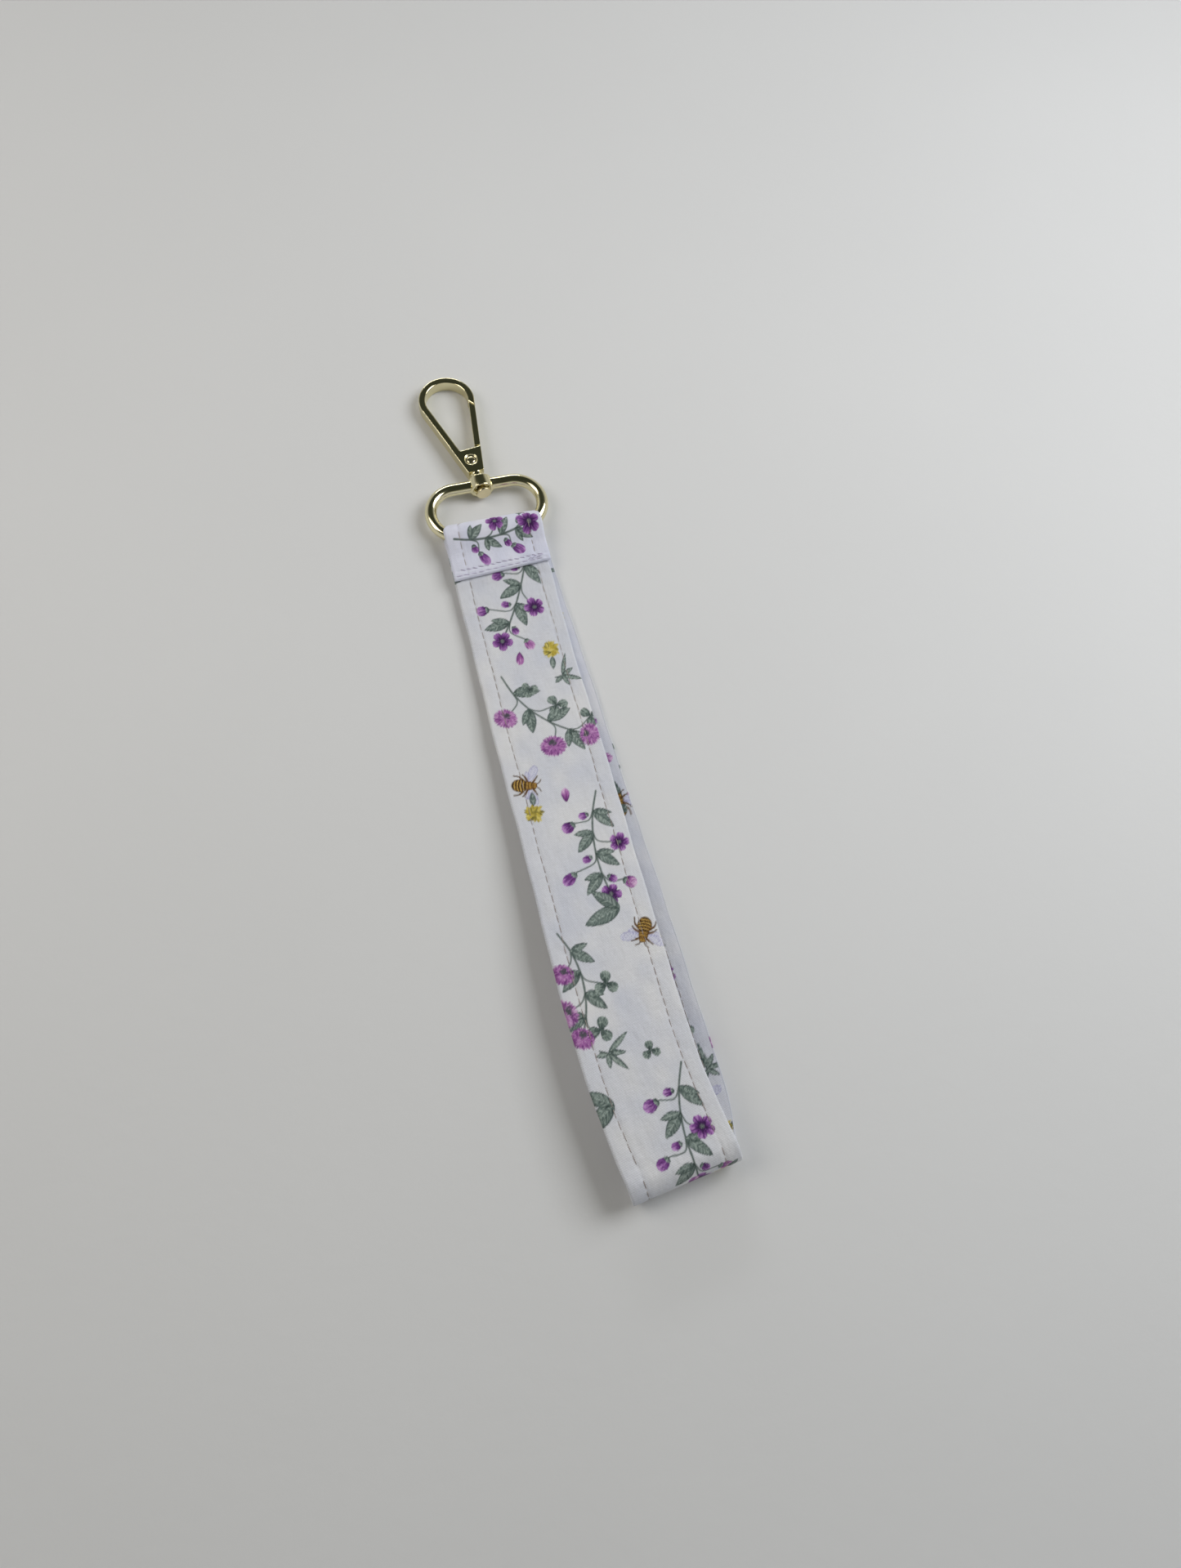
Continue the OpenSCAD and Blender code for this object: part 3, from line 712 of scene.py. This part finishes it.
def hem_rows(e, q):
    """The hem's two sunk rows of stitches, the swelling between them and the waves beside them."""
    d = 0.0
    for row in HEM_ROWS:
        d = d - 0.13 * np.exp(-((q - row) / 0.3) ** 2) * (0.7 + 0.3 * np.cos(2 * math.pi * e / 1.9))
    d = d + 0.05 * np.exp(-((q - 13.8) / 0.35) ** 2) + 0.05 * np.sin(e * 1.1) * np.exp(-((q - 12) / 1.2) ** 2)
    return d * np.exp(-(e / 12.3) ** 20)


def front_narrow(q):
    """How far the front run's right edge is drawn in below the hem."""
    return 0.62 * smooth((q - 9) / 6) * (1 - smooth((q - 45) / 40))


# every garden has its first and last place along the print, and its seed
front = np.vstack([front_run(spread(FRONT_END, FOLD_S, FACE_STEP * FINE)),
                   fold_run(spread(0, math.pi, FACE_STEP * FINE / STEP_R_FOLD, last=True))])
front_cloth = strip_piece("strap_front", front, (0.8, 0.4), (garden(12, 190, 6), garden(16, 165, 8)),
                          (cells(130), cells(12)), narrow=front_narrow)
back = back_run(spread(FOLD_S, WRAP_END, BACK_STEP * FINE, last=True))
back_q = back[:, 6]
back_prints = (garden(back_q.min(), back_q.max(), 15), garden(14, 168, 21) + garden(28, 168, 5))
back_cloth = strip_piece("strap_back", back, (0.7, 0.55), back_prints, (cells(64), cells(84)))
hem = np.vstack([under_bar_run(spread(WRAP_END, DROP_FROM, BACK_STEP * FINE)),
                 under_bar_run(spread(DROP_FROM, AXIS_Z, BAR_STEP * FINE)),
                 ring_fold_run(spread(-math.pi, 0, HEM_STEP * FINE / STEP_R_WRAP)),
                 over_bar_run(spread(AXIS_Z, DROP_FROM, HEM_STEP * FINE)),
                 over_bar_run(spread(DROP_FROM, WRAP_END, HEM_STEP * FINE)),
                 hem_run(spread(WRAP_END, END_FROM, HEM_STEP * FINE)),
                 hem_run(spread(END_FROM, HEM_LEN, END_STEP, last=True))])
hem_print = spray(np.random.default_rng(12), (-10.5, 5.0), 10, 20, "violet")
hem_cloth = strip_piece("strap_hemmed_end", hem, (0.0, 0.3), (hem_print, []), (cells(184), cells(16)),
                        extra=hem_rows, rounded_end=True)

# ---------------------------------------------------------------- stitches
EDGE_R, EDGE_RISE, EDGE_PITCH, EDGE_LEN = 0.075, 0.065, 2.4, 2.22
WRAP_PITCH, WRAP_LEN = 2.35, 1.95
HEM_R, HEM_RISE = 0.115, 0.11
FOLD_OUT, WRAP_OUT = FOLD_R + HALF, AXIS_Z  # radii of the strip's outer face round its two folds


def tube(path, radii, sides=8, up=(0, 0, 1)):
    """Vertices and faces of a closed round tube, one radius a point. The path never runs along up."""
    path = np.asarray(path, float)
    tangent = np.gradient(path, axis=0)
    tangent /= np.linalg.norm(tangent, axis=1)[:, None]
    side = np.cross(tangent, np.array(up, float))
    side /= np.linalg.norm(side, axis=1)[:, None]
    other = np.cross(side, tangent)
    a = np.linspace(0, 2 * math.pi, sides, endpoint=False)[None, :, None]
    spokes = side[:, None, :] * np.cos(a) + other[:, None, :] * np.sin(a)
    v = path[:, None, :] + radii[:, None, None] * spokes
    n = len(path)
    f = [[i * sides + k, i * sides + (k + 1) % sides, (i + 1) * sides + (k + 1) % sides, (i + 1) * sides + k]
         for i in range(n - 1) for k in range(sides)]
    f += [list(range(sides))[::-1], [(n - 1) * sides + k for k in range(sides)]]
    return v.reshape(-1, 3), f


def joined(name, parts, mat):
    """One object of many tubes."""
    verts, faces, base = [], [], 0
    for v, f in parts:
        verts.append(v)
        faces += [[i + base for i in x] for x in f]
        base += len(v)
    return new_object(name, np.vstack(verts), faces, mat, 60)


def bow(t, rise):
    """How high a stitch stands off the cloth, from its start to its end: it dips in at both."""
    return rise * np.clip(np.sin(math.pi * t), 0, 1) ** 0.5 - 0.16 * (np.abs(t - 0.5) > 0.47)


def taper(t, radius):
    """A stitch's radius in metres, from its start to its end."""
    return radius * MM * np.clip(np.sin(math.pi * (0.08 + 0.84 * t)), 0.1, 1) ** 0.35


def stitch(make, e, a, b, outward=1, rise=EDGE_RISE, drift=0.0):
    """One edge stitch from a to b along a run, on its outer face or its inner one."""
    t = np.linspace(0, 1, 9)
    p, ee = make(a + (b - a) * t), e + drift * t
    face = lift(ee, p[:, 6], 0 if outward > 0 else 1)
    path = place(p, ee, outward * (HALF + face + bow(t, rise)))
    path[:, 2] = np.maximum(path[:, 2], EDGE_R * MM)
    return tube(path, taper(t, EDGE_R))


def edge_stitches(side):
    """The stitches along one edge: both faces of the two runs, and the outside of the wrist fold."""
    parts, e, turn_at = [], side * STITCH_E, FOLD_S - 2.4
    runs = [(front_run, HEM_LEN + 0.9, turn_at, 1), (back_run, turn_at, 16, 1),
            (front_run, 18, turn_at, -1), (back_run, turn_at, 18, -1)]
    for make, first, last, outward in runs:
        length = EDGE_LEN if last > first else -EDGE_LEN
        for s in spread(first, last, EDGE_PITCH):
            off = 0.10 * math.sin(s * 0.21 + side) + 0.05 * math.sin(s * 0.83)
            drift = 0.05 * math.sin(s * 2.1)
            parts.append(stitch(make, e + off, s, s + length, outward, drift=drift))
    for a in spread(0.1, math.pi - 0.4, EDGE_PITCH / FOLD_OUT):
        parts.append(stitch(fold_run, e, a, a + EDGE_LEN / FOLD_OUT))
    return joined("topstitch_left" if side < 0 else "topstitch_right", parts, EDGE_THREAD)


edge_left, edge_right = edge_stitches(-1), edge_stitches(1)
wrap_parts = []
for side in (-1, 1):
    for s in spread(AXIS_Z + 0.4, 12.4, WRAP_PITCH):
        make = over_bar_run if s + 2 < WRAP_END else hem_run
        wrap_parts.append(stitch(make, side * STITCH_E, s, s + WRAP_LEN, rise=0.05))
    for a in spread(-2.6, -0.3, WRAP_PITCH / WRAP_OUT):
        wrap_parts.append(stitch(ring_fold_run, side * STITCH_E, a, a + WRAP_LEN / WRAP_OUT, rise=0.045))
wrap_stitches = joined("topstitch_round_the_ring", wrap_parts, EDGE_THREAD)


def hem_row(name, s, pitch, length, reach, seed, slope):
    """A row of stitches across the hemmed end, each sloping by slope along the strip."""
    pick, parts, t = np.random.default_rng(seed), [], np.linspace(0, 1, 9)
    for e in np.arange(reach[0], reach[1] - length, pitch):
        p, ee = hem_run(s + pick.uniform(-0.08, 0.08) + slope * (t - 0.5)), e + length * t
        face = lift(ee, p[:, 6], 0) + hem_rows(ee, p[:, 6])
        parts.append(tube(place(p, ee, HALF + face + bow(t, HEM_RISE)), taper(t, HEM_R)))
    return joined(name, parts, HEM_THREAD)


hem_upper = hem_row("hem_stitches_upper", HEM_ROWS[0], 1.55, 1.25, (-10.6, 12.1), 2, 0.42)
hem_lower = hem_row("hem_stitches_lower", HEM_ROWS[1], 1.9, 1.6, (-12.0, 12.1), 3, 0.10)
back_tack = hem_row("hem_backstitches", 13.75, 0.95, 1.2, (6.8, 11.2), 4, -0.7)

# ---------------------------------------------------------------- metal
joints = {j["name"]: j for j in frame["joints"]}
EYE = Vector(joints["hook_swivel"]["pos_m"])
V = Vector(joints["hook_swivel"]["axis"]).normalized()
N = Vector(joints["gate_swing"]["axis"]).normalized()
U = V.cross(N).normalized()
PIN = Vector(joints["gate_swing"]["pos_m"])


def from_bmesh(name, bm, mat, angle):
    me = bpy.data.meshes.new(name)
    bm.to_mesh(me)
    bm.free()
    me.materials.append(mat)
    smoothed(me, angle)
    return linked(name, me)


def lathe(name, profile, origin, axis, mat, steps, angle=35):
    """A turned part: profile of (distance along axis, radius) in millimetres, closed on the axis."""
    axis = Vector(axis).normalized()
    a = axis.orthogonal().normalized()
    b = axis.cross(a)
    turns = [2 * math.pi * k / steps for k in range(steps)]
    bm, rings = bmesh.new(), []
    for x, r in profile:
        middle = Vector(origin) + axis * x * MM
        rim = [middle + (a * math.cos(turn) + b * math.sin(turn)) * r * MM for turn in turns]
        rings.append([bm.verts.new(v) for v in (rim if r > 1e-6 else [middle])])
    for lo, hi in zip(rings[:-1], rings[1:]):
        for k in range(steps):
            m = (k + 1) % steps
            corners = [lo[k % len(lo)], lo[m % len(lo)], hi[m % len(hi)], hi[k % len(hi)]]
            corners = list(dict.fromkeys(corners))
            if len(corners) > 2:
                bm.faces.new(corners)
    bmesh.ops.recalc_face_normals(bm, faces=bm.faces)
    return from_bmesh(name, bm, mat, angle)


def rounded(points, r, n):
    """A profile with its corners eased by r."""
    out = [points[0]]
    for a, b, c in zip(points[:-2], points[1:-1], points[2:]):
        a, b, c = np.array(a, float), np.array(b, float), np.array(c, float)
        d1, d2 = np.linalg.norm(a - b), np.linalg.norm(c - b)
        k = min(r, 0.45 * d1, 0.45 * d2)
        p0, p1 = b + (a - b) / d1 * k, b + (c - b) / d2 * k
        for t in np.linspace(0, 1, n):
            out.append(tuple((1 - t) ** 2 * p0 + 2 * t * (1 - t) * b + t * t * p1))
    return out + [points[-1]]


def merged(name, parts, mat):
    """Parts made into one object."""
    bm = bmesh.new()
    for o in parts:
        bm.from_mesh(o.data)
        bpy.data.objects.remove(o)
    return from_bmesh(name, bm, mat, 50)


# The ring: one wire, drawn thicker where it runs into the swivel eye
WIRE_R, BEND_R, BEND_X, NECK_X = 1.55, 7.0, 7.55, 2.35
EYE_R, BORE_R, EYE_HALF = 3.05, 1.7, 1.65
FLARE, FLARE_X, FLARE_FADE = 0.07, 2.9, 0.5
mid_y = EYE.y / MM - BEND_R
arc = np.linspace(0, math.pi, 49)
path = [(x, BEND_R) for x in np.linspace(NECK_X, BEND_X, 16)]
path += [(BEND_X + BEND_R * math.sin(a), BEND_R * math.cos(a)) for a in arc[1:]]
path += [(x, -BEND_R) for x in np.linspace(BEND_X, -BEND_X, 15)[1:]]
path += [(-BEND_X - BEND_R * math.sin(a), -BEND_R * math.cos(a)) for a in arc[1:]]
path += [(-x, BEND_R) for x in np.linspace(BEND_X, NECK_X, 16)[1:]]
path = np.array([(x + FX, y + mid_y, EYE.z / MM) for x, y in path])
from_eye = np.where(path[:, 1] > mid_y + BEND_R - 0.5, np.abs(path[:, 0] - FX), 99)
radii = (WIRE_R + FLARE * np.exp(-np.clip(from_eye - FLARE_X, 0, 99) / FLARE_FADE)) * MM
wire = new_object("wire", *tube(path * MM, radii, sides=40), GOLD, 60)
bore = [(-EYE_HALF, BORE_R + 0.15), (-EYE_HALF, EYE_R), (EYE_HALF, EYE_R), (EYE_HALF, BORE_R + 0.75),
        (EYE_HALF - 0.75, BORE_R), (-EYE_HALF + 0.15, BORE_R), (-EYE_HALF, BORE_R + 0.15)]
barrel = lathe("barrel", rounded(bore, 0.42, 6), EYE, (0, -1, 0), GOLD, 96)
ring = merged("ring_with_swivel_eye", [wire, barrel], GOLD)

# The swivel rivet, by distances from the eye along the hook, and the gate pin, from the hook's middle plane
STUD_HEAD_R, SHANK_R, HEAD_FROM, HEAD_TO, SHANK_TO = 2.0, 1.15, -2.8, -2.1, 5.0
stud = [(HEAD_FROM, 0), (HEAD_FROM, STUD_HEAD_R), (HEAD_TO, STUD_HEAD_R), (HEAD_TO, 1.2), (2.25, SHANK_R),
        (SHANK_TO, SHANK_R), (SHANK_TO, 0)]
rivet = lathe("swivel_stud", rounded(stud, 0.22, 5), EYE, V, DEEP_GOLD, 64)
PIN_R, CHEEK, DOME_FROM, DOME_R, DOME_H = 0.6, 1.2, 1.30, 1.15, 0.3
half_pin = [(0, PIN_R), (CHEEK, PIN_R), (CHEEK, 0.98)]
half_pin += [(DOME_FROM + DOME_H * math.cos(t), DOME_R * math.sin(t)) for t in np.linspace(math.pi / 2, 0, 9)]
gate_pin = merged("gate_rivet", [lathe("half_pin", half_pin, PIN, N * sign, DEEP_GOLD, 48, 50)
                                 for sign in (-1, 1)], DEEP_GOLD)


HOOK_FRAME = Matrix.Translation(EYE) @ Matrix((U, V, N)).transposed().to_4x4() @ Matrix.Scale(MM, 4)


def settled(ob):
    """The object's mesh with its modifiers taken in."""
    me = bpy.data.meshes.new_from_object(ob.evaluated_get(bpy.context.evaluated_depsgraph_get()))
    ob.modifiers.clear()
    ob.data = me
    return me


ARMS_FROM, ARMS_OVER = 10.2, 2.5  # where along the hook the arms leave its foot


def cast(node_name, name, cell, rounds, arm_rounds=0):
    """The CAD shape as a polished casting: copied to a new piece, laid square in the hook's own millimetres,
    meshed evenly, and its edges worn round, more so along the arms."""
    me = frame["nodes"][node_name].data.copy()
    me.transform(HOOK_FRAME.inverted())
    ob = linked(name, me)
    even = ob.modifiers.new("even mesh", "REMESH")
    even.mode, even.voxel_size, even.use_smooth_shade = "VOXEL", cell, True
    me = settled(ob)
    if arm_rounds:
        arms = ob.vertex_groups.new(name="arms")
        for v in me.vertices:
            share = min(1.0, max(0.0, (v.co.y - ARMS_FROM) / ARMS_OVER))
            if share:
                arms.add([v.index], share, "REPLACE")
        round_arms = ob.modifiers.new("rounded arms", "SMOOTH")
        round_arms.factor, round_arms.iterations, round_arms.vertex_group = 0.5, arm_rounds, "arms"
    worn = ob.modifiers.new("worn edges", "SMOOTH")
    worn.factor, worn.iterations = 0.5, rounds
    me = settled(ob)
    ob.vertex_groups.clear()
    me.transform(HOOK_FRAME)
    me.name = name
    me.materials.clear()
    me.materials.append(GOLD)
    me.shade_smooth()
    return ob


hook = cast("hook_body", "hook_casting", cell=0.1, rounds=18,
            arm_rounds=50)
gate = cast("gate", "hook_gate", cell=0.08, rounds=18)

# The gate's torsion spring: a leg in the foot, its coils round the pin, and a leg in the gate
COILS, STEPS, COIL_R, COIL_RISE, SPRING_R, COIL_SIDE = 2.4, 40, 0.95, 0.3, 0.14, 0.032
coil_turns = [2 * math.pi * i / STEPS for i in range(int(STEPS * COILS) + 1)]
coil = [(COIL_R * math.cos(math.pi + a), COIL_R * math.sin(math.pi + a), COIL_RISE * a / (2 * math.pi))
        for a in coil_turns]
leg = math.radians(54)  # the way the last leg leaves the coils
end = coil[-1]
local = [(-1.42, 2.5, 0), (-1.28, 1.9, 0), (-1.14, 1.2, 0)] + coil[2:]
local += [(end[0] + k * math.cos(leg), end[1] + k * math.sin(leg), end[2]) for k in (0.7, 1.4, 2.6)]
spring_path = np.array([(PIN + (U * x + V * y + N * (z - COIL_SIDE)) * MM)[:] for x, y, z in local])
spring_tube = tube(spring_path, np.full(len(spring_path), SPRING_R * MM), sides=14, up=N)
spring = new_object("gate_torsion_spring", *spring_tube, STEEL, 60)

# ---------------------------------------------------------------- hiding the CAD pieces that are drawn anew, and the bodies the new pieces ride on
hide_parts("front_run", "wrist_fold")
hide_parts("back_run")
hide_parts("ring_wrap", "hem_end")
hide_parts("edge_thread_left")
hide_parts("edge_thread_right")
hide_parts("hem_thread_upper")
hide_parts("hem_thread_lower")
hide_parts("backstitch")
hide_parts("oval_ring")
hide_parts("swivel_rivet")
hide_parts("hook_body")
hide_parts("gate")
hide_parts("gate_pin")
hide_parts("gate_spring")
core = frame["nodes"]["interfacing"]
for slot in core.material_slots:
    slot.material = FLEECE

for piece in (front_cloth, back_cloth, edge_left, edge_right, hem_upper, hem_lower, back_tack):
    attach(piece, "strap")
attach(ring, "ring")
for piece in (rivet, hook, gate_pin):
    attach(piece, "hook")
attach(gate, "gate")
for piece in (hem_cloth, wrap_stitches):
    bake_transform(piece)
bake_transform(spring)


# ---------------------------------------------------------------- floor, light and camera
m, t, b = material("pale_floor", Specular_IOR_Level=0.2)
co = node(t, "ShaderNodeTexCoord").outputs["Object"]
tone = mixed(t, "MIX", noise(t, co, 9.0, 4.0), (0.73, 0.728, 0.728, 1), (0.77, 0.768, 0.768, 1))
t.links.new(tone, b.inputs["Base Color"])
t.links.new(to_range(t, noise(t, co, 60.0), 0.85, 0.97), b.inputs["Roughness"])
bump = node(t, "ShaderNodeBump", in_Strength=0.12, in_Distance=0.0006)
t.links.new(noise(t, co, 240.0, 4.0), bump.inputs["Height"])
t.links.new(bump.outputs[0], b.inputs["Normal"])
FLOOR_R, RIM = 0.75, 128
rim = [2 * math.pi * k / RIM for k in range(RIM)]
corners = [(FLOOR_R * math.cos(a), FLOOR_R * math.sin(a), 0) for a in rim]
floor = new_object("floor", corners, [list(range(RIM))], m)


def softbox(name, at, aim, size, watts, colour):
    """A rectangular light at a place, facing another."""
    light = bpy.data.lights.new(name, "AREA")
    light.shape, light.size, light.size_y = "RECTANGLE", size[0], size[1]
    light.energy, light.color = watts, colour
    ob = linked(name, light)
    ob.location = at
    ob.rotation_euler = (Vector(aim) - Vector(at)).to_track_quat("-Z", "Y").to_euler()


softbox("side_window", (0.38, 0.06, 0.42), (0, 0.03, 0), (0.34, 0.34), 1.9, (0.96, 0.98, 1.0))
softbox("end_window", (0.06, 1.20, 0.46), (0, 0.06, 0), (0.62, 0.14), 1.9, (0.95, 0.97, 1.0))
softbox("fill", (-0.36, 0.16, 0.42), (0, 0.06, 0), (0.3, 0.3), 0.9, (1.0, 0.95, 0.88))

world = bpy.data.worlds.new("studio")
scene.world = world
world.use_nodes = True
t = world.node_tree
co = node(t, "ShaderNodeTexCoord").outputs["Generated"]
part = node(t, "ShaderNodeSeparateXYZ")
t.links.new(co, part.inputs[0])
sky = node(t, "ShaderNodeValToRGB")  # pale near the horizon, dark overhead
stops = sky.color_ramp.elements
stops[0].position, stops[0].color = 0.0, (0.80, 0.80, 0.80, 1)
stops[1].position, stops[1].color = 1.0, (0.050, 0.058, 0.042, 1)
stops.new(0.34).color = (0.85, 0.86, 0.88, 1)
stops.new(0.50).color = (0.46, 0.46, 0.42, 1)
stops.new(0.63).color = (0.065, 0.072, 0.052, 1)
t.links.new(part.outputs[2], sky.inputs[0])
background = t.nodes["Background"]
background.inputs["Strength"].default_value = 0.56
t.links.new(sky.outputs[0], background.inputs[0])

scene.view_settings.view_transform = "Standard"
# where the strap and the ring have the photograph's outlines, in millimetres from the middle of the ring fold
CAMERA_AT, CAMERA_TURN = (-36.4, -157.5, 260.1), (19.27, -4.78, -14.61)
lens = bpy.data.cameras.new("camera")
lens.sensor_width, lens.lens = 36.0, 26.26
lens.clip_start, lens.clip_end = 0.01, 20
camera = linked("camera", lens)
camera.location = (Vector((FX, FY, 0)) + Vector(CAMERA_AT)) * MM
camera.rotation_euler = [math.radians(a) for a in CAMERA_TURN]
scene.camera = camera
